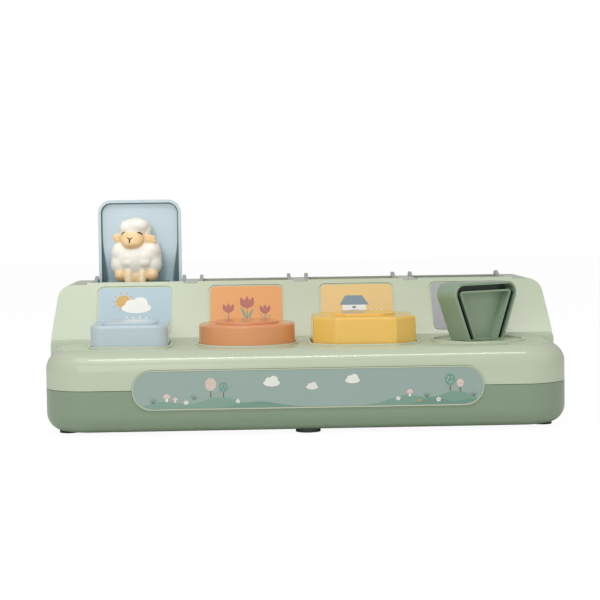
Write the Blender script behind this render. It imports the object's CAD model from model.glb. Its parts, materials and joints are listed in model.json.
import json
import math

import bmesh
import bpy
import numpy
from mathutils import Matrix, Vector


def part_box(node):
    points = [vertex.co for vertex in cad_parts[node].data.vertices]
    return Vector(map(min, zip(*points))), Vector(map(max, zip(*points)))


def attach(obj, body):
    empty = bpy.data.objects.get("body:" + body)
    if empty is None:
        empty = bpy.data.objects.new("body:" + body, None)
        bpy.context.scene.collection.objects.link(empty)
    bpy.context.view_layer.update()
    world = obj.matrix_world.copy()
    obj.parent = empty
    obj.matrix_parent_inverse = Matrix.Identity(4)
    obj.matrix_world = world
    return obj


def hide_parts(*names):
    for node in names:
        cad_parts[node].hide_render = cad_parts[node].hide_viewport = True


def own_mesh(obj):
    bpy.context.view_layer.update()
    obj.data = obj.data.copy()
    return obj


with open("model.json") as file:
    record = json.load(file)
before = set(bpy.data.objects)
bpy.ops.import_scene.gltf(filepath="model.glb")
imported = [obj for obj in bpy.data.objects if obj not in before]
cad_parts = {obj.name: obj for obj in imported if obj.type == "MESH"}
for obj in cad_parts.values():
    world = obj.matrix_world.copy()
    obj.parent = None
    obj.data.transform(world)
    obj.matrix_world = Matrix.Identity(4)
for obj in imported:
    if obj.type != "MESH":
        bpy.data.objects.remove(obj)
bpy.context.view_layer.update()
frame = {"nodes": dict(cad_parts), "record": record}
nodes = frame["nodes"]
MM = 0.001


# ------------------------------------------------------------ upper and lower case shells
# Two injection-moulded ABS shells, pale sage above and a deeper green below, with a glossy
# polished-tool finish. They meet at a parting line round the middle and are screwed from below.

class Port:
    """A node's output. Python arithmetic on it adds Math nodes to the same tree."""

    def __init__(self, tree, socket):
        self.tree = tree
        self.socket = socket

    def _sum(self, operation, first, second=0.0):
        node = self.tree.nodes.new("ShaderNodeMath")
        node.operation = operation
        for slot, value in zip(node.inputs, (first, second)):
            if isinstance(value, Port):
                self.tree.links.new(value.socket, slot)
            else:
                slot.default_value = value
        return Port(self.tree, node.outputs[0])

    def __add__(self, other):
        return self._sum("ADD", self, other)

    __radd__ = __add__

    def __sub__(self, other):
        return self._sum("SUBTRACT", self, other)

    def __rsub__(self, other):
        return self._sum("SUBTRACT", other, self)

    def __mul__(self, other):
        return self._sum("MULTIPLY", self, other)

    __rmul__ = __mul__

    def __truediv__(self, other):
        return self._sum("DIVIDE", self, other)

    def __pow__(self, other):
        return self._sum("POWER", self, other)

    def above(self, level):
        return self._sum("GREATER_THAN", self, level)

    def at_least(self, level):
        return self._sum("MAXIMUM", self, level)

    def at_most(self, level):
        return self._sum("MINIMUM", self, level)

    def size(self):
        return self._sum("ABSOLUTE", self)

    def soft_step(self, low, high):
        """0 under low, 1 over high, and a smooth rise between."""
        node = self.tree.nodes.new("ShaderNodeMapRange")
        node.interpolation_type = "SMOOTHSTEP"
        self.tree.links.new(self.socket, node.inputs["Value"])
        node.inputs["From Min"].default_value = low
        node.inputs["From Max"].default_value = high
        return Port(self.tree, node.outputs["Result"])


class Finish:
    """One material being made: its Principled shader and the nodes that feed it."""

    def __init__(self, name):
        self.material = bpy.data.materials.new(name)
        self.material.use_nodes = True
        self.tree = self.material.node_tree
        self.shader = self.tree.nodes["Principled BSDF"]
        self.place = self.node("ShaderNodeTexCoord", out="Object")

    def node(self, kind, feeds=None, out=0, **settings):
        """Add a node of any kind, with its settings first and then its inputs, and give one output."""
        node = self.tree.nodes.new(kind)
        for key, value in settings.items():
            setattr(node, key, value)
        for key, value in (feeds or {}).items():
            self.feed(node.inputs[key], value)
        return Port(self.tree, node.outputs[out])

    def feed(self, slot, value):
        if isinstance(value, Port):
            self.tree.links.new(value.socket, slot)
        elif hasattr(value, "__len__") and len(value) == 3 and slot.type == "RGBA":
            slot.default_value = (*value, 1.0)
        else:
            slot.default_value = value

    def set(self, **values):
        """Set or link the shader's sockets, written with underscores for the spaces in their names."""
        for key, value in values.items():
            self.feed(self.shader.inputs[key.replace("_", " ")], value)

    def axes(self):
        """The point's x, y and z in millimetres."""
        parts = self.tree.nodes.new("ShaderNodeSeparateXYZ")
        self.feed(parts.inputs[0], self.place)
        return [Port(self.tree, part) * 1000.0 for part in parts.outputs]

    def noise(self, scale, detail):
        return self.node("ShaderNodeTexNoise", {"Vector": self.place, "Scale": scale, "Detail": detail})

    def blend(self, first, second, share):
        """A colour between two colours."""
        node = self.tree.nodes.new("ShaderNodeMix")
        node.data_type = "RGBA"
        self.feed(node.inputs[0], share)
        self.feed(node.inputs[6], first)
        self.feed(node.inputs[7], second)
        return Port(self.tree, node.outputs[2])

    def bump(self, height, distance, strength):
        return self.node("ShaderNodeBump", {"Height": height, "Distance": distance, "Strength": strength},
                         out="Normal")


def colour(red, green, blue):
    """A screen colour from 0 to 255, as the shader wants it."""
    def straight(part):
        part = part / 255
        return part / 12.92 if part <= 0.04045 else ((part + 0.055) / 1.055) ** 2.4
    return straight(red), straight(green), straight(blue)


def scaled(tint, share):
    return tuple(min(1.0, part * share) for part in tint)


def moulded_plastic(name, tint, roughness=0.18, coat=0.25, deepen=None):
    """Glossy moulded plastic: nearly even colour, faint flow clouds, and a slight orange-peel ripple."""
    made = Finish(name)
    clouds = made.noise(14.0, 3.0)
    specks = made.noise(1400.0, 2.0)
    share = (clouds - 0.5) * 0.9 + (specks - 0.5) * 0.22 + 0.5
    rub = made.noise(60.0, 4.0).soft_step(0.52, 0.75)
    ripple = made.noise(260.0, 2.0) * 0.75 + specks * 0.25
    even = made.blend(scaled(tint, 0.965), scaled(tint, 1.035), share)
    made.set(Base_Color=deepen(made, even) if deepen else even,
             Roughness=roughness + rub * 0.05 + (specks - 0.5) * 0.04,
             Normal=made.bump(ripple, 0.00003, 0.5),
             Coat_Weight=coat, Coat_Roughness=0.12, IOR=1.5)
    return made.material


def finish_node(name, material):
    """Give a moulded piece its finish."""
    mesh = nodes[name].data
    mesh.materials.clear()
    mesh.materials.append(material)


def rubbed_rims(made, even):
    """The thin rims round the controls, rubbed a little paler than the ledge they stand on."""
    rim_foot, fade_start, fade_end = 51.5, -24.0, -14.0
    _, along, height = made.axes()
    rim = height.above(rim_foot) * (1.0 - along.soft_step(fade_start, fade_end))
    return made.blend(even, colour(232, 238, 216), rim * 0.75)


sage = colour(202, 212, 186)
deep_sage = colour(141, 161, 135)
finish_node("upper_case", moulded_plastic("sage_case_plastic", sage, deepen=rubbed_rims))
finish_node("lower_case", moulded_plastic("deep_sage_case_plastic", deep_sage, roughness=0.3))


# ------------------------------------------------------------ front plate and its printed card
# A pill-shaped moulded frame is snapped across the parting line, and a film card printed with a
# plain meadow (hills, little trees, toadstools, grass, flowers, clouds) is glued into its recess.

def card_film(name, tint):
    """Matt printed film: a flat tint with the fine grain of ink and a slight roll of the surface."""
    made = Finish(name)
    grain = made.noise(2600.0, 2.0)
    wash = made.noise(30.0, 2.0)
    share = (grain - 0.5) * 0.8 + (wash - 0.5) * 0.5 + 0.5
    made.set(Base_Color=made.blend(scaled(tint, 0.96), scaled(tint, 1.04), share),
             Roughness=0.42 + (grain - 0.5) * 0.1,
             Normal=made.bump(made.noise(900.0, 2.0), 0.00001, 0.4), Coat_Weight=0.12, Coat_Roughness=0.3)
    return made.material


def printed_ink(name):
    """Ink on film: each shape's own colour, with a fine grain."""
    made = Finish(name)
    ink = made.node("ShaderNodeAttribute", out="Color", attribute_name="ink")
    grain = made.noise(2600.0, 2.0)
    made.set(Base_Color=made.blend(ink, made.blend(ink, (0.25, 0.22, 0.2), 0.1), grain.soft_step(0.4, 0.7)),
             Roughness=0.45 + (grain - 0.5) * 0.1, Coat_Weight=0.1, Coat_Roughness=0.3)
    return made.material


def add_object(name, data):
    """Put a new object with this mesh, curve, lamp or camera into the scene."""
    added = bpy.data.objects.new(name, data)
    bpy.context.collection.objects.link(added)
    return added


class Print:
    """Flat shapes printed on one card, in millimetres across and up the card."""

    def __init__(self, name, origin, across, up, outward):
        self.name = name
        self.origin, self.across, self.up, self.outward = origin, across, up, outward
        self.shapes = []

    def shape(self, points, ink):
        self.shapes.append((points, ink))

    def oval(self, x, y, half_x, half_y, ink, turn=0.0, count=28):
        tilt = math.radians(turn)
        points = []
        for step in range(count):
            angle = 2 * math.pi * step / count
            u, v = half_x * math.cos(angle), half_y * math.sin(angle)
            points.append((x + u * math.cos(tilt) - v * math.sin(tilt),
                           y + u * math.sin(tilt) + v * math.cos(tilt)))
        self.shape(points, ink)

    def curve(self, knots, ink, steps=8):
        """A closed smooth outline through its knots."""
        points = []
        count = len(knots)
        for index in range(count):
            p0, p1, p2, p3 = (knots[(index + shift) % count] for shift in (-1, 0, 1, 2))
            for step in range(steps):
                t = step / steps
                points.append(tuple(0.5 * (2 * p1[k] + (p2[k] - p0[k]) * t
                                           + (2 * p0[k] - 5 * p1[k] + 4 * p2[k] - p3[k]) * t * t
                                           + (3 * p1[k] - p0[k] - 3 * p2[k] + p3[k]) * t ** 3)
                                    for k in (0, 1)))
        self.shape(points, ink)

    def stroke(self, x0, y0, x1, y1, width, ink, bow=0.0):
        """A tapered blade or stem from a foot to a tip."""
        long = math.hypot(x1 - x0, y1 - y0)
        side = ((y1 - y0) / long, (x0 - x1) / long)
        left, right = [], []
        for step in range(9):
            t = step / 8
            half = width / 2 * (1 - 0.75 * t)
            bend = bow * math.sin(math.pi * t / 2)
            x, y = x0 + (x1 - x0) * t + side[0] * bend, y0 + (y1 - y0) * t + side[1] * bend
            left.append((x + side[0] * half, y + side[1] * half))
            right.append((x - side[0] * half, y - side[1] * half))
        self.shape(left + right[::-1], ink)

    def made(self, material, body, finish_slot):
        """All the shapes as one thin layer of ink, each a little over the one before."""
        mesh = bpy.data.meshes.new(self.name)
        layer = bmesh.new()
        ink_layer = layer.faces.layers.int.new("ink_number")
        first_lift, ink_thickness = 0.015, 0.0025
        for number, (points, _) in enumerate(self.shapes):
            lift = first_lift + ink_thickness * number
            corners = [layer.verts.new((self.origin + self.across * (x * MM) + self.up * (y * MM)
                                        + self.outward * (lift * MM))) for x, y in points]
            face = layer.faces.new(corners)
            face[ink_layer] = number
            face.normal_update()
            if face.normal.dot(self.outward) < 0:
                face.normal_flip()
        bmesh.ops.triangulate(layer, faces=layer.faces[:])
        layer.to_mesh(mesh)
        numbers = [face[ink_layer] for face in layer.faces]
        layer.free()
        colours = mesh.color_attributes.new("ink", "FLOAT_COLOR", "CORNER")
        for face in mesh.polygons:
            tint = self.shapes[numbers[face.index]][1]
            for corner in face.loop_indices:
                colours.data[corner].color = (*tint, 1.0)
        piece = add_object(self.name, mesh)
        mesh.materials.append(material)
        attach(piece, body)
        return piece


white_ink = colour(247, 247, 240)
pink_ink = colour(226, 204, 192)
leaf_ink = colour(120, 164, 146)
dark_leaf_ink = colour(98, 140, 124)
ochre_ink = colour(222, 176, 92)
brown_ink = colour(128, 104, 84)
red_ink = colour(186, 104, 90)
grey_blue_ink = colour(128, 150, 162)


def cloud(page, x, y, size, ink):
    page.oval(x, y, size, size * 0.42, ink)
    page.oval(x - size * 0.35, y + size * 0.28, size * 0.42, size * 0.4, ink)
    page.oval(x + size * 0.25, y + size * 0.38, size * 0.5, size * 0.48, ink)


def round_tree(page, x, foot, height, crown, ink, dots):
    page.stroke(x, foot, x, foot + height, 0.8, brown_ink)
    page.oval(x, foot + height * 0.78, crown, crown * 1.15, ink)
    for turn in range(5):
        angle = turn * 2.4 + x
        page.oval(x + crown * 0.5 * math.cos(angle), foot + height * 0.78 + crown * 0.6 * math.sin(angle),
                  0.32, 0.32, dots, count=10)


def toadstool(page, x, foot, size):
    stem = ((-0.22, 0.0), (-0.16, 0.8), (0.16, 0.8), (0.22, 0.0))
    cap = ((-0.75, 0.7), (-0.5, 1.3), (0.0, 1.55), (0.5, 1.3), (0.75, 0.7), (0.0, 0.6))
    for outline, ink in ((stem, white_ink), (cap, pink_ink)):
        page.curve([(x + size * shift, foot + size * rise) for shift, rise in outline], ink)
    for shift, rise in ((-0.35, 1.0), (0.05, 1.2), (0.38, 0.92)):
        page.oval(x + size * shift, foot + size * rise, size * 0.12, size * 0.12, white_ink, count=12)


def grass(page, x, foot, size, ink):
    for lean in (-0.6, -0.2, 0.25, 0.65):
        page.stroke(x + lean * size * 0.3, foot, x + lean * size, foot + size * (1.2 - abs(lean) * 0.5),
                    size * 0.16, ink, bow=lean * size * 0.12)


def small_flower(page, x, y, size, ink, heart):
    for petal in range(5):
        angle = math.radians(90 + 72 * petal)
        page.oval(x + size * 0.55 * math.cos(angle), y + size * 0.5 * math.sin(angle),
                  size * 0.42, size * 0.3, ink, turn=math.degrees(angle), count=14)
    page.oval(x, y, size * 0.25, size * 0.22, heart, count=12)


finish_node("front_plate", moulded_plastic("plate_frame_plastic", sage))
finish_node("front_card", card_film("meadow_card_film", colour(160, 181, 172)))

plate_low, plate_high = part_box("front_card")
plate_middle = (plate_low + plate_high) / 2
meadow = Print("meadow_print", Vector((plate_middle.x, plate_low.y, plate_middle.z)), Vector((1, 0, 0)),
               Vector((0, 0, 1)), Vector((0, -1, 0)))
plate_half = (plate_high.x - plate_low.x) / MM / 2
plate_rise = (plate_high.z - plate_low.z) / MM / 2


def on_card(points):
    """Keep an outline inside the pill-shaped card."""
    inside = []
    edge = 0.15
    for x, y in points:
        round_end = plate_half - plate_rise
        y = max(-(plate_rise - edge), min(plate_rise - edge, y))
        spare = math.sqrt(max(0.0, (plate_rise - edge) ** 2 - y * y))
        inside.append((max(-round_end - spare, min(round_end + spare, x)), y))
    return inside


def hill(x0, x1, foot, crests, ink):
    """A low hill along the card's lower edge, through its crests."""
    steps = 60
    top = []
    for step in range(steps + 1):
        x = x0 + (x1 - x0) * step / steps
        rise = sum(high * math.exp(-((x - at) / wide) ** 2) for at, high, wide in crests)
        top.append((x, foot + rise))
    under = [(x0 + (x1 - x0) * (steps - step) / steps, -plate_rise) for step in range(steps + 1)]
    meadow.shape(on_card(top + under), ink)


hill(-plate_half, -8.0, -plate_rise, ((-86.0, 4.2, 13.0), (-52.0, 6.6, 16.0)), colour(137, 172, 156))
hill(20.0, plate_half, -plate_rise, ((58.0, 5.6, 15.0), (88.0, 7.6, 14.0)), colour(131, 168, 151))
hill(-70.0, 10.0, -plate_rise, ((-30.0, 3.6, 16.0),), colour(122, 161, 145))
hill(36.0, plate_half, -plate_rise, ((74.0, 4.0, 10.0), (96.0, 3.0, 8.0)), colour(118, 157, 140))
for draw, *sizes in (
        (round_tree, -58.0, -4.6, 10.0, 3.4, pink_ink, white_ink),
        (round_tree, -50.5, -4.4, 7.4, 2.6, leaf_ink, pink_ink),
        (toadstool, -84.0, -6.6, 3.0),
        (toadstool, -79.0, -7.2, 2.0),
        (grass, -92.0, -7.6, 3.2, dark_leaf_ink),
        (grass, -68.0, -5.6, 2.8, dark_leaf_ink),
        (small_flower, -72.6, -7.4, 1.6, white_ink, ochre_ink),
        (small_flower, -42.0, -7.0, 1.5, white_ink, ochre_ink),
        (cloud, -22.0, 3.4, 5.0, white_ink),
        (cloud, 2.0, 0.6, 3.6, scaled(white_ink, 0.93)),
        (cloud, 26.0, 4.2, 4.4, white_ink),
        (round_tree, 84.0, -3.0, 8.6, 3.0, leaf_ink, white_ink),
        (round_tree, 90.0, -3.4, 6.4, 2.2, pink_ink, white_ink),
        (toadstool, 60.0, -5.8, 2.8),
        (grass, 70.0, -6.6, 2.8, dark_leaf_ink),
        (grass, 98.0, -6.6, 2.6, dark_leaf_ink),
        (small_flower, 53.0, -7.0, 1.6, white_ink, ochre_ink),
        (small_flower, 77.0, -8.0, 1.7, white_ink, red_ink),
        (small_flower, 66.0, -8.6, 1.2, ochre_ink, brown_ink),
):
    draw(meadow, *sizes)
ink_finish = printed_ink("printed_ink")
meadow.made(ink_finish, "case", "front_card")


# ------------------------------------------------------------ printed cards on the sloped panel
# Four rounded film cards, each tinted like its control and printed with one plain motif, sit
# flush in shallow sunk fields of the panel, where their feet run down behind the controls.

PANEL_LEAN = math.radians(36.0)
card_tints = (colour(181, 203, 212), colour(238, 165, 92), colour(238, 202, 129), colour(176, 178, 180))


def panel_page(number):
    """The card's own directions: across it, up the slope, and out of it, from its lower middle."""
    low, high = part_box("panel_card_%d" % number)
    up = Vector((0.0, math.sin(PANEL_LEAN), math.cos(PANEL_LEAN)))
    outward = Vector((0.0, -math.cos(PANEL_LEAN), math.sin(PANEL_LEAN)))
    thick = 0.4 * MM
    foot = Vector(((low.x + high.x) / 2, low.y, low.z + thick * outward.z))
    return Print("panel_print_%d" % number, foot, Vector((1, 0, 0)), up, outward)


for number, tint in enumerate(card_tints, start=1):
    finish_node("panel_card_%d" % number, card_film("panel_card_film_%d" % number, tint))

page = panel_page(1)
sun_x, sun_y, ray_foot, ray_tip = -7.5, 24.5, 5.6, 7.8
page.oval(sun_x, sun_y, 4.6, 4.6, ochre_ink)
for ray in range(10):
    angle = math.radians(36 * ray)
    across, up = math.cos(angle), math.sin(angle)
    page.stroke(sun_x + ray_foot * across, sun_y + ray_foot * up, sun_x + ray_tip * across,
                sun_y + ray_tip * up, 1.1, ochre_ink)
cloud(page, 1.0, 19.5, 9.5, white_ink)
for drop in range(4):
    across, high = 4.2 * drop, 0.9 * (drop % 2)
    page.stroke(-5.0 + across, 13.6 - high, -5.4 + across, 11.2 - high, 0.9, white_ink)
page.made(ink_finish, "case", "panel_card_1")

page = panel_page(2)
for x, tall, size in ((-11.5, 15.0, 3.4), (0.5, 18.5, 4.2), (12.0, 14.0, 3.2)):
    page.stroke(x, 8.0, x, tall + 1.0, 0.9, dark_leaf_ink)
    page.curve([(x, 8.4), (x - 2.2, 12.5), (x - 4.4, tall + 0.5), (x - 1.6, tall - 3.0)], leaf_ink)
    page.curve([(x, 8.4), (x + 2.0, 11.5), (x + 4.0, tall - 1.0), (x + 1.6, tall - 4.0)], leaf_ink)
    page.curve([(x, tall - 0.4), (x - size, tall + 2.2), (x - size * 0.95, tall + size * 1.9),
                (x - size * 0.4, tall + size * 1.35), (x, tall + size * 2.1),
                (x + size * 0.4, tall + size * 1.35), (x + size * 0.95, tall + size * 1.9),
                (x + size, tall + 2.2)], red_ink)
page.made(ink_finish, "case", "panel_card_2")

page = panel_page(3)
page.shape([(-9.5, 9.0), (5.5, 9.0), (5.5, 20.0), (-9.5, 20.0)], white_ink)
page.shape([(-11.5, 19.4), (7.5, 19.4), (3.5, 26.6), (-7.5, 26.6)], grey_blue_ink)
page.shape([(-4.6, 9.0), (0.6, 9.0), (0.6, 15.6), (-4.6, 15.6)], grey_blue_ink)
page.oval(-2.0, 17.6, 1.3, 1.0, grey_blue_ink)
for post in range(3):
    page.shape([(x + 3.2 * post, y) for x, y in
                ((8.2, 9.0), (9.8, 9.0), (9.8, 15.0), (9.0, 16.2), (8.2, 15.0))], white_ink)
page.shape([(7.4, 11.2), (17.2, 11.2), (17.2, 12.4), (7.4, 12.4)], white_ink)
page.made(ink_finish, "case", "panel_card_3")

page = panel_page(4)
page.curve([(2.0, 26.0), (-3.4, 25.0), (-6.4, 20.4), (-4.6, 15.4), (0.4, 13.0), (-1.8, 17.0), (-1.6, 21.6)],
           white_ink)
for x, y, size in ((7.0, 23.0, 1.0), (11.5, 17.5, 0.8), (4.5, 12.0, 0.7)):
    page.oval(x, y, size, size, ochre_ink, count=14)
page.made(ink_finish, "case", "panel_card_4")


# ------------------------------------------------------------ wells, hinge pins and lids
# Each well is a grey-green moulded box hung in a window of the deck. Its two pointed ears hold a
# steel hinge pin. Each lid is a shallow tray in the colour of its control, hinged at its back edge.

control_tints = (colour(200, 216, 224), colour(234, 160, 108), colour(254, 206, 104), colour(150, 172, 146))
steel = Finish("zinc_steel")
streak = steel.noise(500.0, 3.0)
steel.set(Base_Color=steel.blend((0.5, 0.5, 0.5), (0.66, 0.66, 0.67), streak), Metallic=1.0,
          Roughness=0.3 + streak * 0.12)
well_finish = moulded_plastic("well_plastic", colour(168, 176, 165))
for number in range(1, 5):
    finish_node("figure_well_%d" % number, well_finish)
    finish_node("lid_spring_%d" % number, steel.material)
finish_node("hinge_pins", steel.material)


def tray_shade(made, even):
    """The inside of the first lid: deeper colour near its hinge, and dark inner corners."""
    lid_middle, straight_half, straight_top, corner_round, tray_floor = -107.25, 19.2, 131.9, 6.9, 76.9
    across, along, height = made.axes()
    aside = (across - lid_middle).size()
    past_side = (aside - straight_half).at_least(0.0)
    past_top = (height - straight_top).at_least(0.0)
    room = corner_round - (past_side ** 2.0 + past_top ** 2.0) ** 0.5
    tray = room.above(-0.15) * (1.0 - along.above(tray_floor))
    reach = 4.4 * (1.0 - height.soft_step(84.0, 116.0)) + 0.9
    corner = 1.0 - (room / reach).soft_step(0.55, 1.0)
    low = 1.0 - (height + aside * 0.1).soft_step(96.0, 112.0)
    deeper = made.blend(even, made.blend(even, colour(134, 164, 176), 0.62), low * tray)
    return made.blend(deeper, colour(58, 84, 90), corner * tray * 0.85)


finish_node("lid_1", moulded_plastic("lid_plastic_1", colour(203, 222, 230), deepen=tray_shade))
for number, tint in enumerate(control_tints[1:], start=2):
    finish_node("lid_%d" % number, moulded_plastic("lid_plastic_%d" % number, tint))


# ------------------------------------------------------------ the four hand controls
# Each is one glossy moulding: a square push button, a round dial and an eight-sided rocking key,
# which are hollow underneath, and a triangle with grooved faces on a round neck.

def key_shade(made, even):
    """The turn key's two deep grooves, darker towards their floors."""
    key_middle, row_depth, turn, half_thick = 107.25, -38.6, math.radians(35.0), 8.5
    foot, top, half_foot, lean = 51.4, 87.0, 15.0, math.atan2(14.5, 35.6)
    corner, corner_cut = 7.0, 1.576
    rim, groove_end, face_edge, face_depth = 1.5, 5.1, 6.3, 6.8
    across, along, height = made.axes()
    aside, ahead = across - key_middle, along - row_depth
    along_face = aside * math.cos(turn) + ahead * math.sin(turn)
    off_middle = ahead * math.cos(turn) - aside * math.sin(turn)
    depth = half_thick - off_middle.size()
    side = ((height - foot) * math.tan(lean) + half_foot - along_face.size()) * math.cos(lean)
    corner_side, corner_top = (corner - side).at_least(0.0), (height - (top - corner)).at_least(0.0)
    rounding = corner_side * corner_top / (corner_side + corner_top + 0.001) * corner_cut
    inset = side.at_most(top - height) - rounding
    groove = inset.above(rim) * (1.0 - inset.above(groove_end))
    shaded = made.blend(even, colour(16, 48, 34), groove * depth.soft_step(0.2, 3.4) * 0.9)
    paler = made.blend(shaded, colour(176, 196, 168), 0.4)
    return made.blend(shaded, paler, inset.above(face_edge) * depth.above(face_depth))


for name, tint in zip(("square_button", "round_dial", "octagon_key"), control_tints):
    finish_node(name, moulded_plastic(name + "_plastic", tint))
finish_node("turn_key", moulded_plastic("turn_key_plastic", control_tints[3], deepen=key_shade))


# ------------------------------------------------------------ mechanism inside the case
# White acetal sliders and cams on a moulded plate, a steel rocking pin, and two broad-headed
# screws that hold the cams to the dial and the turn key.

acetal = moulded_plastic("acetal", colour(226, 228, 222), roughness=0.36, coat=0.05)
for name in ["mechanism_plate", "dial_cam", "turn_key_cam"] + ["latch_slider_%d" % n for n in range(1, 5)]:
    finish_node(name, acetal)
for name in ("rocker_pin", "dial_screw", "turn_key_screw"):
    finish_node(name, steel.material)


# ------------------------------------------------------------ case and plate screws
# Zinc-plated self-tapping screws with cross-recessed pan heads: four go up through the floor of
# the lower case into the upper case, and six hold the mechanism plate down on its posts.

def plain_mesh(piece):
    """The piece's mesh or curve as it looks with its modifiers worked in."""
    return bpy.data.meshes.new_from_object(piece.evaluated_get(bpy.context.evaluated_depsgraph_get()))


class Build:
    """A Geometry Nodes tree with named sizes, made a plain mesh at the end."""

    def __init__(self, name, sizes):
        self.tree = bpy.data.node_groups.new(name, "GeometryNodeTree")
        self.tree.interface.new_socket("Geometry", in_out="INPUT", socket_type="NodeSocketGeometry")
        self.tree.interface.new_socket("Geometry", in_out="OUTPUT", socket_type="NodeSocketGeometry")
        self.sockets = {}
        for size, default in sizes.items():
            made = self.tree.interface.new_socket(size, in_out="INPUT", socket_type="NodeSocketFloat")
            made.default_value = default
            self.sockets[size] = made.identifier
        self.given = self.tree.nodes.new("NodeGroupInput")

    def size(self, name):
        return self.given.outputs[name]

    def node(self, kind, feeds=None, out=0, **settings):
        node = self.tree.nodes.new(kind)
        for key, value in settings.items():
            setattr(node, key, value)
        for key, value in (feeds or {}).items():
            for one in value if isinstance(value, list) else [value]:
                if isinstance(one, bpy.types.NodeSocket):
                    self.tree.links.new(one, node.inputs[key])
                else:
                    node.inputs[key].default_value = one
        return node.outputs[out]

    def sum(self, operation, first, second):
        return self.node("ShaderNodeMath", {0: first, 1: second}, operation=operation)

    def upward(self, height):
        return self.node("ShaderNodeCombineXYZ", {"Z": height})

    def on_points(self, shape, turn):
        """The shape, turned, at each given point."""
        return self.node("GeometryNodeInstanceOnPoints", {
            "Points": self.given.outputs["Geometry"], "Instance": shape, "Rotation": turn})

    def finish(self, shape, material):
        """End the tree with real geometry in its material."""
        real = self.node("GeometryNodeRealizeInstances", {0: shape})
        painted = self.node("GeometryNodeSetMaterial", {"Geometry": real, "Material": material})
        self.tree.links.new(painted, self.tree.nodes.new("NodeGroupOutput").inputs[0])

    def make(self, name, points, **sizes):
        """The tree's plain mesh on these points, with these sizes."""
        seed = bpy.data.meshes.new(name)
        seed.from_pydata(points, [], [])
        holder = add_object(name, seed)
        modifier = holder.modifiers.new("build", "NODES")
        modifier.node_group = self.tree
        for key, value in sizes.items():
            modifier[self.sockets[key.replace("_", " ")]] = value
        mesh = plain_mesh(holder)
        holder.modifiers.clear()
        holder.data = mesh
        mesh.name = name
        mesh.shade_smooth()
        mesh.set_sharp_from_angle(angle=math.radians(35))
        return holder


def screw_build():
    build = Build("pan_head_screw", {"head radius": 2.8 * MM, "head height": 2.0 * MM,
                                     "shank radius": 1.4 * MM, "shank length": 12.0 * MM,
                                     "thread pitch": 1.3 * MM, "turned over": 0.0})
    head_top = build.sum("MULTIPLY", build.size("head radius"), 0.74)
    head = build.node("GeometryNodeMeshCone", {
        "Vertices": 32, "Radius Top": head_top, "Radius Bottom": build.size("head radius"),
        "Depth": build.size("head height")})
    recess_depth = build.upward(build.size("head height"))
    recess_width = build.sum("MULTIPLY", build.size("head radius"), 0.28)
    recess_length = build.sum("MULTIPLY", build.size("head radius"), 1.15)
    for wide, long in ((recess_width, recess_length), (recess_length, recess_width)):
        bar = build.node("GeometryNodeMeshCube", {"Size": build.node("ShaderNodeCombineXYZ", {
            "X": wide, "Y": long, "Z": build.sum("MULTIPLY", build.size("head height"), 1.2)})})
        arm = build.node("GeometryNodeTransform", {"Geometry": bar, "Translation": recess_depth})
        head = build.node("GeometryNodeMeshBoolean", {"Mesh 1": head, "Mesh 2": arm}, operation="DIFFERENCE")
    core_radius = build.sum("MULTIPLY", build.size("shank radius"), 0.8)
    core = build.node("GeometryNodeMeshCylinder", {
        "Vertices": 20, "Radius": core_radius, "Depth": build.size("shank length")})
    core_drop = build.upward(build.sum("MULTIPLY", build.size("shank length"), -0.5))
    core = build.node("GeometryNodeTransform", {"Geometry": core, "Translation": core_drop})
    thread_turns = build.sum("DIVIDE", build.size("shank length"), build.size("thread pitch"))
    spine = build.node("GeometryNodeCurveSpiral", {
        "Resolution": 18, "Rotations": thread_turns, "Start Radius": core_radius,
        "End Radius": core_radius, "Height": build.sum("MULTIPLY", build.size("shank length"), 0.96)})
    thread_radius = build.sum("MULTIPLY", build.size("thread pitch"), 0.22)
    section = build.node("GeometryNodeCurvePrimitiveCircle", {"Resolution": 6, "Radius": thread_radius})
    thread = build.node("GeometryNodeCurveToMesh",
                        {"Curve": spine, "Profile Curve": section, "Fill Caps": True})
    thread_drop = build.upward(build.sum("MULTIPLY", build.size("shank length"), -0.98))
    thread = build.node("GeometryNodeTransform", {"Geometry": thread, "Translation": thread_drop})
    screw = build.node("GeometryNodeJoinGeometry", {"Geometry": [head, core, thread]})
    turn = build.node("ShaderNodeCombineXYZ", {"X": build.size("turned over")})
    build.finish(build.on_points(screw, turn), steel.material)
    return build


screws = screw_build()
case_spots = [(x, y, 17.65) for x in (-149.0, 149.0) for y in (-48.6, 65.4)]
plate_spots = [(x, y, 33.6) for x in (-138.0, 0.0, 138.0) for y in (-62.6, 29.4)]
screw_sets = (("case_screws", case_spots, 20.0, math.pi), ("plate_screws", plate_spots, 12.5, 0.0))
for name, places, length, turned in screw_sets:
    piece = screws.make(name + "_threaded", [tuple(part * MM for part in place) for place in places],
                        shank_length=length * MM, turned_over=turned)
    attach(piece, "case")
    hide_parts(name)


# ------------------------------------------------------------ return springs and latch springs
# Cold-wound steel wire compression springs with closed ends. Two stand on the mechanism plate
# under the pressed controls, and four lie between the latch sliders and their posts.

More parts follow.
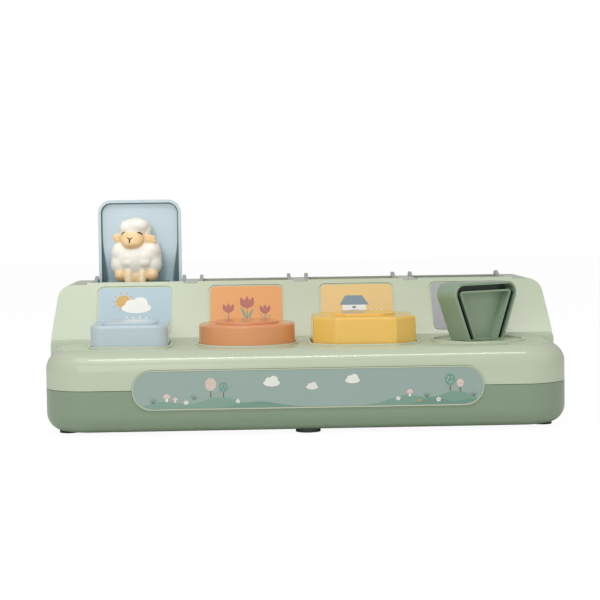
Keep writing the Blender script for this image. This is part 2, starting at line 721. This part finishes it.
def spring_build():
    build = Build("compression_spring", {"coil radius": 4.1 * MM, "wire radius": 0.4 * MM,
                                         "free length": 15.0 * MM, "turns": 6.0, "laid over": 0.0})
    section = build.node("GeometryNodeCurvePrimitiveCircle",
                         {"Resolution": 10, "Radius": build.size("wire radius")})
    wire = build.sum("MULTIPLY", build.size("wire radius"), 2.0)
    rise = build.sum("SUBTRACT", build.size("free length"), wire)
    spine = build.node("GeometryNodeCurveSpiral", {
        "Resolution": 28, "Rotations": build.size("turns"), "Start Radius": build.size("coil radius"),
        "End Radius": build.size("coil radius"), "Height": rise})
    end_turn = build.node("GeometryNodeCurvePrimitiveCircle",
                          {"Resolution": 36, "Radius": build.size("coil radius")})
    wound = build.node("GeometryNodeCurveToMesh",
                       {"Curve": spine, "Profile Curve": section, "Fill Caps": True})
    foot = build.node("GeometryNodeCurveToMesh", {"Curve": end_turn, "Profile Curve": section})
    head = build.node("GeometryNodeTransform", {"Geometry": foot, "Translation": build.upward(rise)})
    spring = build.node("GeometryNodeJoinGeometry", {"Geometry": [wound, foot, head]})
    spring = build.node("GeometryNodeTransform", {"Geometry": spring,
                                                  "Translation": build.upward(build.size("wire radius"))})
    turn = build.node("ShaderNodeCombineXYZ", {"Y": build.size("laid over")})
    build.finish(build.on_points(spring, turn), steel.material)
    return build


WIRE_RADIUS = 0.4 * MM
springs = spring_build()
joints = {joint["name"]: joint for joint in frame["record"]["behaviour"]["joints"]}


def fit_spring(name, travel, along):
    """Wind a spring into its place, and let it close by the travel of the piece that presses it."""
    low, high = (Vector(corner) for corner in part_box(name))
    middle = (low + high) / 2
    lying = along.x > 0.5
    length = (high - low).dot(along)
    start = middle - along * length / 2
    across = high.z - low.z if lying else high.x - low.x
    piece = springs.make(name + "_wound", [start], free_length=length, wire_radius=WIRE_RADIUS,
                         coil_radius=across / 2 - WIRE_RADIUS, laid_over=math.pi / 2 if lying else 0.0)
    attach(piece, "case")
    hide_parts(name)
    1 - travel / length
    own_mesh(piece)


press = joints["square_button_press"]["range_m"][1]
fit_spring("square_button_spring", press, Vector((0, 0, 1)))
rocker = joints["octagon_key_rock"]
arm = rocker["pos_m"][1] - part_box("octagon_key_spring")[0].y
drop = arm * math.tan(math.radians(rocker["range_deg"][1]))
fit_spring("octagon_key_spring", drop, Vector((0, 0, 1)))
for number in "1234":
    slide = "latch_slider_" + number + "_slide"
    fit_spring("latch_spring_" + number, joints[slide]["range_m"][1], Vector((1, 0, 0)))


# ------------------------------------------------------------ sheep on the first lid
# A hollow soft-vinyl animal, cast in one piece with its wool as low rounded lobes, then spray
# painted: cream wool, peach face, ears and legs. Its flat back is fixed to the inside of the lid.

hinges = [Vector(joint["pos_m"]) for joint in joints.values() if joint["child"].startswith("lid_")]
FLOOR_RISE = 1.2


class Figure:
    """One animal as egg-shaped lumps in millimetres: x across, out from the lid, and up from its edge."""

    def __init__(self, name, unit, swing=0.0):
        self.name = name
        self.hinge = hinges[unit]
        self.swing = math.radians(swing)
        self.lumps = []

    def lump(self, x, out, up, half, paint, turn=(0.0, 0.0, 0.0)):
        """A lump with three half sizes, turned about x, out and up in degrees."""
        tilt_x, tilt_out, tilt_up = (math.radians(part) for part in turn)
        turning = (Matrix.Rotation(tilt_up, 4, "Z") @ Matrix.Rotation(tilt_out, 4, "Y")
                   @ Matrix.Rotation(tilt_x, 4, "X"))
        sizes = Matrix.Diagonal((*(part * MM for part in half), 1.0))
        self.lumps.append((Matrix.Translation(self.place(x, out, up)) @ turning @ sizes,
                           min(half) * MM, paint))

    def pair(self, x, out, up, half, paint, turn=(0.0, 0.0, 0.0)):
        """The same lump on both sides of the middle."""
        self.lump(-x, out, up, half, paint, turn)
        self.lump(x, out, up, half, paint, (turn[0], -turn[1], -turn[2]))

    def place(self, x, out, up):
        return Vector((self.hinge.x + x * MM, self.hinge.y - out * MM,
                       self.hinge.z + (FLOOR_RISE + up) * MM))

    def skin(self, smooth=10):
        """The lumps melted into one skin, eased, and cut flat at the lid and under the feet."""
        body = bmesh.new()
        for where, _, _ in self.lumps:
            bmesh.ops.create_icosphere(body, subdivisions=4, radius=1.0, matrix=where)
        mesh = bpy.data.meshes.new(self.name)
        body.to_mesh(mesh)
        body.free()
        piece = add_object(self.name, mesh)
        melt = piece.modifiers.new("melt", "REMESH")
        melt.mode = "VOXEL"
        melt.voxel_size = 0.4 * MM
        ease = piece.modifiers.new("ease", "SMOOTH")
        ease.factor = 0.5
        ease.iterations = smooth
        settled = plain_mesh(piece)
        piece.modifiers.clear()
        piece.data = settled
        settled.name = self.name
        cut = bmesh.new()
        cut.from_mesh(settled)
        lid_gap = 0.15
        for point, normal in ((self.place(0, 0, 0), (0, 0, -1)), (self.place(0, lid_gap, 0), (0, 1, 0))):
            made = bmesh.ops.bisect_plane(cut, geom=cut.verts[:] + cut.edges[:] + cut.faces[:],
                                          plane_co=point, plane_no=normal, clear_outer=True)
            rim = [part for part in made["geom_cut"] if isinstance(part, bmesh.types.BMEdge)]
            bmesh.ops.triangle_fill(cut, use_beauty=True, use_dissolve=False, edges=rim)
        bmesh.ops.recalc_face_normals(cut, faces=cut.faces[:])
        cut.to_mesh(settled)
        cut.free()
        settled.shade_smooth()
        settled.set_sharp_from_angle(angle=math.radians(50))
        return piece

    def spray(self, piece, paints):
        """Colour each point by the paint of its nearest lump, with a soft sprayed edge."""
        edge = 0.35
        mesh = piece.data
        count = len(mesh.vertices)
        places = numpy.empty(count * 3)
        mesh.vertices.foreach_get("co", places)
        places = numpy.column_stack((places.reshape(count, 3), numpy.ones(count)))
        nearest = {paint: numpy.full(count, 1.0) for paint in paints}
        for where, least_half, paint in self.lumps:
            local = places @ numpy.array(where.inverted()).T
            gap = (numpy.linalg.norm(local[:, :3], axis=1) - 1.0) * least_half
            nearest[paint] = numpy.minimum(nearest[paint], gap)
        least = numpy.min(list(nearest.values()), axis=0)
        weights = {paint: numpy.exp(-(gap - least) / (edge * MM)) for paint, gap in nearest.items()}
        total = sum(weights.values())
        mixed = numpy.ones((count, 4))
        mixed[:, :3] = sum(numpy.outer(weights[paint] / total, paints[paint]) for paint in paints)
        layer = mesh.color_attributes.new("paint", "FLOAT_COLOR", "POINT")
        layer.data.foreach_set("color", mixed.ravel())
        store_creases(mesh)

    def front_point(self, piece, x, up, proud=0.0):
        """The point of the skin's front at (x, up)."""
        hit, point, normal, _ = piece.ray_cast(self.place(x, 60, up), Vector((0.0, 1.0, 0.0)))
        if not hit:
            raise ValueError("no skin in front of %s at %s, %s" % (self.name, x, up))
        return point + normal * proud * MM

    def line(self, piece, name, knots, thickness, material):
        """A painted stroke, bent by three (x, up) knots, on the skin's front and tapered at both ends."""
        proud = 0.05
        line = bpy.data.curves.new(name, "CURVE")
        line.dimensions = "3D"
        line.bevel_depth = thickness * MM
        line.bevel_resolution = 3
        line.use_fill_caps = True
        stroke = line.splines.new("POLY")
        steps = 12
        stroke.points.add(steps)
        start, bend, end = (Vector(knot) for knot in knots)
        for number, knot in enumerate(stroke.points):
            way = number / steps
            spot = start.lerp(bend, way).lerp(bend.lerp(end, way), way)
            knot.co = (*self.front_point(piece, *spot, proud), 1.0)
            knot.radius = 0.35 + 0.65 * math.sin(math.pi * way) ** 0.5
        holder = add_object(name, line)
        mesh = plain_mesh(holder)
        bpy.data.objects.remove(holder)
        mark = add_object(name, mesh)
        mesh.shade_smooth()
        mesh.materials.append(material)
        return mark

    def dot(self, piece, name, x, up, radius, material):
        """A painted round dot, slightly domed, on the skin's front at (x, up)."""
        point = self.front_point(piece, x, up)
        beside = self.front_point(piece, x + radius, up) - self.front_point(piece, x - radius, up)
        above = self.front_point(piece, x, up + radius) - self.front_point(piece, x, up - radius)
        facing = beside.cross(above).to_track_quat("Z", "Y").to_matrix().to_4x4()
        dome = Matrix.Diagonal((1.0, 1.0, 0.35, 1.0))
        body = bmesh.new()
        bmesh.ops.create_icosphere(body, subdivisions=3, radius=radius * MM,
                                   matrix=Matrix.Translation(point) @ facing @ dome)
        mesh = bpy.data.meshes.new(name)
        body.to_mesh(mesh)
        body.free()
        mesh.shade_smooth()
        mesh.materials.append(material)
        return add_object(name, mesh)

    def seat(self, body, node, *pieces):
        """Swing the animal and its painted marks to where the lid stands, and fix them to it."""
        turn = (Matrix.Translation(self.hinge) @ Matrix.Rotation(self.swing, 4, "X")
                @ Matrix.Translation(-self.hinge))
        for piece in pieces:
            piece.data.transform(turn)
            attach(piece, body)
        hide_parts(node)


def store_creases(mesh):
    """Store how deep each point lies in a crease, from 0 on a crest to 1 in a fold."""
    count, edge_count = len(mesh.vertices), len(mesh.edges)
    ends = numpy.empty(edge_count * 2, dtype=numpy.int32)
    mesh.edges.foreach_get("vertices", ends)
    ends = ends.reshape(edge_count, 2)
    places, normals = numpy.empty(count * 3), numpy.empty(count * 3)
    mesh.vertices.foreach_get("co", places)
    mesh.vertices.foreach_get("normal", normals)
    places, normals = places.reshape(count, 3), normals.reshape(count, 3)
    ring = numpy.maximum(numpy.bincount(ends.ravel(), minlength=count), 1)

    def around(values):
        total = numpy.zeros_like(values)
        numpy.add.at(total, ends[:, 0], values[ends[:, 1]])
        numpy.add.at(total, ends[:, 1], values[ends[:, 0]])
        return total

    middle = around(places) / ring[:, None]
    spread = numpy.linalg.norm(places[ends[:, 0]] - places[ends[:, 1]], axis=1).mean()
    depth = numpy.einsum("ij,ij->i", middle - places, normals) / spread
    for _ in range(6):
        depth = (depth + around(depth)) / (1 + ring)
    layer = mesh.attributes.new("crease", "FLOAT", "POINT")
    layer.data.foreach_set("value", numpy.clip(0.5 + depth * 4.0, 0.0, 1.0))


def sprayed_vinyl(name, wash):
    """Soft vinyl under spray paint: the paint layer's colours, with a warm wash in the creases."""
    made = Finish(name)
    paint = made.node("ShaderNodeAttribute", out="Color", attribute_name="paint")
    crease = made.node("ShaderNodeAttribute", out="Fac", attribute_name="crease")
    mist = made.noise(420.0, 3.0)
    washed = made.blend(paint, made.blend(paint, wash, 0.45), crease.soft_step(0.56, 0.95))
    lit = made.blend(washed, made.blend(washed, (1.0, 1.0, 1.0), 0.12), (1.0 - crease).soft_step(0.5, 0.8))
    speckled = made.blend(lit, made.blend(lit, wash, 0.06), mist.soft_step(0.5, 0.8))
    made.set(Base_Color=speckled, Roughness=0.5 + (mist - 0.5) * 0.12,
             Normal=made.bump(made.noise(1800.0, 3.0) * 0.6 + mist * 0.4, 0.00003, 0.5),
             Coat_Weight=0.08, Coat_Roughness=0.35, Subsurface_Weight=0.2, Subsurface_Scale=0.003,
             Subsurface_Radius=(1.0, 0.8, 0.6))
    return made.material


def glossy_ink(name, tint):
    """A brushed dot or line of gloss paint, with the slight ridge of its edge."""
    made = Finish(name)
    streak = made.noise(900.0, 2.0)
    made.set(Base_Color=made.blend(scaled(tint, 0.8), scaled(tint, 1.2), streak), Roughness=0.35,
             Normal=made.bump(streak, 0.00001, 0.4))
    return made.material


eye_paint = glossy_ink("dark_eye_paint", colour(44, 34, 30))
glint_paint = glossy_ink("white_glint_paint", colour(236, 234, 226))


def sheep():
    figure = Figure("sheep_vinyl", 0)
    for x, out, up, half in ((-2.3, 8.0, 16.4, (17.3, 11.4, 14.6)), (-12.6, 9.0, 21.0, (6.6, 7.8, 7.6)),
                             (-13.0, 9.4, 12.8, (6.6, 7.6, 7.6)), (7.6, 8.8, 21.6, (6.9, 8.0, 8.0)),
                             (8.2, 9.2, 12.8, (6.9, 7.8, 7.6)), (-7.2, 12.4, 17.6, (7.0, 6.6, 7.2)),
                             (3.0, 12.6, 17.8, (7.4, 6.6, 7.2)), (-7.2, 13.8, 14.4, (6.2, 5.6, 4.6)),
                             (2.8, 14.0, 14.4, (6.4, 5.6, 4.6)), (-2.4, 12.4, 18.6, (6.4, 6.4, 7.0)),
                             (-2.6, 8.0, 29.0, (10.6, 8.0, 8.4))):
        figure.lump(x, out, up, half, "wool")
    for x, out, up, half in ((-2.2, 9.4, 37.2, (9.6, 8.2, 7.2)), (-0.8, 12.4, 39.2, (7.6, 6.0, 5.2)),
                             (-8.6, 10.6, 38.0, (4.5, 5.6, 5.0)), (-2.2, 10.0, 40.6, (7.4, 6.8, 4.2)),
                             (4.0, 8.4, 36.2, (4.6, 6.4, 5.8))):
        figure.lump(x, out, up, half, "wool")
    figure.lump(-4.3, 13.4, 31.6, (8.7, 5.4, 4.6), "skin")
    figure.lump(-4.5, 15.2, 29.2, (7.8, 5.2, 4.7), "skin")
    figure.lump(-4.5, 16.4, 27.6, (6.6, 4.9, 4.0), "skin")
    figure.lump(-13.4, 11.9, 32.6, (4.8, 1.5, 1.6), "skin", (0, -8, 0))
    figure.lump(-13.8, 11.6, 30.2, (4.2, 1.7, 2.5), "skin", (0, 12, 0))
    figure.lump(6.4, 13.6, 31.8, (5.4, 1.6, 1.6), "skin", (0, 12, 0))
    figure.lump(6.8, 13.4, 29.5, (5.2, 1.9, 2.3), "skin", (0, 16, 0))
    figure.lump(-13.4, 13.4, 5.6, (3.6, 5.6, 4.2), "skin")
    figure.lump(8.6, 13.4, 5.8, (4.2, 5.8, 4.4), "skin")
    for x in (-7.25, 1.75):
        figure.lump(x, 15.0, 4.6, (3.1, 4.2, 7.6), "leg")
        figure.lump(x, 15.2, 2.0, (2.9, 4.4, 6.0), "leg")
    figure.lump(-2.7, 12.6, 4.4, (4.8, 5.0, 7.0), "skin")
    piece = figure.skin(smooth=20)
    figure.spray(piece, {"wool": colour(252, 247, 236), "skin": colour(253, 214, 158),
                         "leg": colour(255, 232, 192)})
    piece.data.materials.append(sprayed_vinyl("sheep_paint", colour(232, 178, 112)))
    strokes = (("eye_left", ((-11.4, 32.8), (-10.9, 34.6), (-9.2, 34.9)), 0.45, eye_paint),
               ("eye_right", ((-0.8, 34.5), (1.2, 34.9), (2.6, 32.7)), 0.55, eye_paint),
               ("glint_left", ((-11.0, 31.9), (-10.5, 33.4), (-9.1, 33.7)), 0.4, glint_paint),
               ("glint_right", ((-0.2, 33.4), (0.9, 33.6), (1.6, 32.2)), 0.45, glint_paint),
               ("nose_left", ((-7.8, 31.3), (-6.4, 31.0), (-5.8, 29.6)), 0.42, eye_paint),
               ("nose_right", ((-4.0, 31.3), (-5.2, 31.0), (-5.8, 29.6)), 0.34, eye_paint),
               ("nose_stem", ((-5.85, 30.6), (-5.95, 29.0), (-6.0, 27.6)), 0.5, eye_paint))
    marks = [figure.line(piece, "sheep_" + name, *rest) for name, *rest in strokes]
    figure.seat("lid_1", "sheep_figure", piece, *marks)


sheep()


# ------------------------------------------------------------ pig, cow and chick on the closed lids
# Soft-vinyl castings like the sheep, each in its own paint, lying in their wells under lids two,
# three and four. Each sits upright and faces forward when its lid springs open.

def pig():
    figure = Figure("pig_vinyl", 1, swing=90.0)
    figure.lump(0.0, 7.2, 13.2, (16.2, 10.4, 13.6), "pink")
    figure.lump(0.0, 13.0, 12.2, (9.6, 5.0, 8.6), "belly")
    figure.lump(0.0, 10.6, 25.8, (10.9, 8.0, 10.0), "pink")
    figure.pair(5.2, 14.4, 22.6, (4.6, 3.6, 4.2), "pink")
    figure.pair(12.4, 12.0, 15.4, (3.2, 4.2, 6.2), "pink", (0, -18, 0))
    figure.pair(7.0, 11.4, 33.4, (3.3, 2.1, 4.4), "pink", (18, -24, 0))
    figure.pair(7.2, 12.6, 33.2, (1.9, 1.6, 2.9), "rose", (18, -24, 0))
    figure.lump(0.0, 17.2, 23.8, (4.1, 3.4, 3.2), "rose")
    figure.pair(9.0, 13.2, 3.6, (4.2, 5.4, 4.4), "rose")
    piece = figure.skin()
    figure.spray(piece, {"pink": colour(240, 190, 176), "belly": colour(246, 206, 192),
                         "rose": colour(226, 156, 146)})
    piece.data.materials.append(sprayed_vinyl("pig_paint", colour(206, 128, 120)))
    marks = [figure.dot(piece, "pig_eye_left", -4.6, 28.2, 0.8, eye_paint),
             figure.dot(piece, "pig_eye_right", 4.6, 28.2, 0.8, eye_paint),
             figure.dot(piece, "pig_nostril_left", -1.4, 24.0, 0.55, eye_paint),
             figure.dot(piece, "pig_nostril_right", 1.4, 24.0, 0.55, eye_paint),
             figure.line(piece, "pig_smile", ((-2.8, 20.2), (0.0, 19.2), (2.8, 20.2)), 0.28, eye_paint)]
    figure.seat("lid_2", "pig_figure", piece, *marks)


def cow():
    figure = Figure("cow_vinyl", 2, swing=90.0)
    figure.lump(0.0, 7.2, 14.2, (16.2, 10.4, 14.6), "hide")
    figure.lump(-9.6, 10.6, 18.6, (6.4, 5.6, 6.4), "patch")
    figure.lump(10.2, 10.2, 9.6, (5.8, 5.6, 5.4), "patch")
    figure.lump(0.0, 10.6, 28.6, (9.1, 7.8, 10.4), "hide")
    figure.lump(4.6, 12.6, 32.2, (4.4, 5.2, 5.0), "patch")
    figure.lump(0.0, 15.4, 24.2, (6.6, 5.0, 5.0), "muzzle")
    figure.pair(12.2, 10.8, 31.8, (4.6, 1.9, 2.7), "patch", (0, -14, 0))
    figure.pair(12.0, 12.0, 31.7, (2.9, 1.3, 1.6), "muzzle", (0, -14, 0))
    figure.pair(5.2, 10.4, 38.8, (1.7, 1.8, 3.9), "horn", (0, 16, 0))
    figure.pair(9.0, 13.2, 3.8, (4.2, 5.4, 4.6), "hoof")
    figure.pair(9.0, 12.0, 8.4, (4.4, 5.0, 4.6), "hide")
    piece = figure.skin()
    figure.spray(piece, {"hide": colour(244, 236, 222), "patch": colour(150, 104, 76),
                         "muzzle": colour(240, 190, 170), "horn": colour(232, 212, 170),
                         "hoof": colour(112, 82, 64)})
    piece.data.materials.append(sprayed_vinyl("cow_paint", colour(196, 156, 122)))
    marks = [figure.dot(piece, "cow_eye_left", -4.0, 30.8, 0.8, eye_paint),
             figure.dot(piece, "cow_eye_right", 4.0, 30.8, 0.8, eye_paint),
             figure.dot(piece, "cow_nostril_left", -2.4, 25.4, 0.6, eye_paint),
             figure.dot(piece, "cow_nostril_right", 2.4, 25.4, 0.6, eye_paint),
             figure.line(piece, "cow_smile", ((-3.0, 21.8), (0.0, 20.8), (3.0, 21.8)), 0.28, eye_paint)]
    figure.seat("lid_3", "cow_figure", piece, *marks)


def chick():
    figure = Figure("chick_vinyl", 3, swing=90.0)
    figure.lump(0.0, 7.2, 13.2, (13.8, 10.4, 13.8), "down")
    figure.lump(0.0, 12.6, 12.2, (9.2, 5.2, 8.8), "belly")
    figure.lump(0.0, 9.8, 27.6, (9.7, 8.3, 9.8), "down")
    figure.pair(5.0, 13.6, 24.6, (3.8, 3.6, 3.4), "down")
    for up, half_up in ((15.6, 7.6), (11.4, 5.4)):
        figure.pair(13.4, 8.6, up, (2.8, 5.6, half_up), "wing", (0, -10, 0))
    figure.lump(0.0, 16.8, 26.4, (2.9, 3.7, 1.9), "beak")
    figure.lump(0.0, 10.0, 37.4, (1.7, 2.2, 3.6), "down")
    figure.pair(2.0, 10.0, 36.6, (1.4, 2.0, 2.9), "down", (0, -26, 0))
    figure.pair(6.0, 12.2, 2.6, (3.9, 5.8, 2.9), "beak")
    piece = figure.skin()
    figure.spray(piece, {"down": colour(246, 208, 104), "belly": colour(250, 224, 144),
                         "wing": colour(238, 188, 80), "beak": colour(236, 142, 66)})
    piece.data.materials.append(sprayed_vinyl("chick_paint", colour(214, 142, 48)))
    marks = [figure.dot(piece, "chick_eye_left", -4.2, 29.4, 0.8, eye_paint),
             figure.dot(piece, "chick_eye_right", 4.2, 29.4, 0.8, eye_paint)]
    figure.seat("lid_4", "chick_figure", piece, *marks)


pig()
cow()
chick()


# ------------------------------------------------------------ rubber feet
# Six soft grey-green rubber pads, each moulded in one piece and pressed into a round seat under
# the case, so that it stands firm when the controls are pushed.

rubber = Finish("foot_rubber")
dust = rubber.noise(700.0, 3.0)
rubber.set(Base_Color=rubber.blend(colour(62, 72, 64), colour(84, 94, 84), dust), Roughness=0.75,
           Normal=rubber.bump(dust, 0.0001, 0.4))
finish_node("rubber_feet", rubber.material)


# ------------------------------------------------------------ stage, light and camera
# A plain pale table in an even white surround, a wide soft lamp above and a narrow one beside it,
# a broad one in front, a weak one on the right, and a soft-edged spot on the open lid.

def table_top():
    reach = 3.0
    mesh = bpy.data.meshes.new("table_top")
    mesh.from_pydata([(-reach, -reach, 0), (reach, -reach, 0), (reach, reach, 0), (-reach, reach, 0)], [],
                     [(0, 1, 2, 3)])
    table = add_object("table_top", mesh)
    paint = Finish("white_table")
    paint.set(Base_Color=colour(246, 246, 244), Roughness=0.9, Specular_IOR_Level=0.0)
    camera_ray = paint.node("ShaderNodeLightPath", out="Is Camera Ray")
    glow = paint.node("ShaderNodeEmission", {"Color": (1.0, 1.0, 1.0), "Strength": 1.05})
    mixed = paint.node("ShaderNodeMixShader", {0: camera_ray * 0.9,
                                               1: Port(paint.tree, paint.shader.outputs[0]), 2: glow})
    paint.tree.links.new(mixed.socket, paint.tree.nodes["Material Output"].inputs["Surface"])
    mesh.materials.append(paint.material)


def white_surround(strength):
    world = bpy.data.worlds.new("white_surround")
    bpy.context.scene.world = world
    world.use_nodes = True
    tree = world.node_tree
    light = tree.nodes["Background"]
    light.inputs["Color"].default_value = (1.0, 1.0, 1.0, 1.0)
    light.inputs["Strength"].default_value = strength
    seen = tree.nodes.new("ShaderNodeBackground")
    seen.inputs["Strength"].default_value = 1.0
    seen.inputs["Color"].default_value = (1.0, 1.0, 1.0, 1.0)
    rays = tree.nodes.new("ShaderNodeLightPath")
    mixed = tree.nodes.new("ShaderNodeMixShader")
    tree.links.new(rays.outputs["Is Camera Ray"], mixed.inputs[0])
    tree.links.new(light.outputs[0], mixed.inputs[1])
    tree.links.new(seen.outputs[0], mixed.inputs[2])
    tree.links.new(mixed.outputs[0], tree.nodes["World Output"].inputs["Surface"])


def hang(name, lamp, place, aim):
    """Hang a lamp at its place, turned to its aim."""
    holder = add_object(name, lamp)
    holder.location = place
    holder.rotation_euler = (Vector(aim) - Vector(place)).to_track_quat("-Z", "Y").to_euler()


def soft_lamp(name, place, aim, width, height, power):
    lamp = bpy.data.lights.new(name, "AREA")
    lamp.shape = "RECTANGLE"
    lamp.size = width
    lamp.size_y = height
    lamp.energy = power
    hang(name, lamp, place, aim)


def spot_lamp(name, place, aim, cone, power):
    """A soft-edged spot, its cone in degrees, that picks out the open lid and its sheep."""
    lamp = bpy.data.lights.new(name, "SPOT")
    lamp.spot_size = math.radians(cone)
    lamp.spot_blend = 0.7
    lamp.shadow_soft_size = 0.05
    lamp.energy = power
    hang(name, lamp, place, aim)


def set_camera():
    """The eye point and the turns of the view, with the lens as pixels of focal length."""
    eye = Vector((-0.041378, -1.055896, 0.1363))
    yaw, pitch, roll = 0.03795, 0.057845, -0.0135516
    focal_pixels, frame_pixels = 1649.6, 600.0
    ahead = Vector((math.sin(yaw) * math.cos(pitch), math.cos(yaw) * math.cos(pitch), -math.sin(pitch)))
    level = Vector((math.cos(yaw), -math.sin(yaw), 0.0))
    upright = level.cross(ahead)
    across = level * math.cos(roll) + upright * math.sin(roll)
    rise = upright * math.cos(roll) - level * math.sin(roll)
    turn = Matrix((across, rise, -ahead)).transposed()
    lens = bpy.data.cameras.new("camera")
    lens.sensor_width = 36.0
    lens.lens = lens.sensor_width * focal_pixels / frame_pixels
    holder = add_object("camera", lens)
    holder.matrix_world = Matrix.Translation(eye) @ turn.to_4x4()
    bpy.context.scene.camera = holder


table_top()
white_surround(0.42)
soft_lamp("top_lamp", (-0.35, -0.45, 0.95), (0.0, 0.0, 0.05), 0.9, 0.5, 2.3)
soft_lamp("strip_lamp", (0.04, -0.46, 0.98), (0.0, -0.06, 0.05), 0.62, 0.05, 1.8)
spot_lamp("lid_lamp", (-0.35, -0.85, 0.5), (-0.107, 0.06, 0.114), 8.5, 8.0)
soft_lamp("right_lamp", (0.9, -0.5, 0.5), (0.0, 0.0, 0.06), 0.5, 0.7, 0.4)
soft_lamp("front_lamp", (-0.5, -1.4, 0.5), (0.0, 0.0, 0.07), 1.0, 0.8, 3.5)
set_camera()
bpy.context.scene.view_settings.view_transform = "Standard"
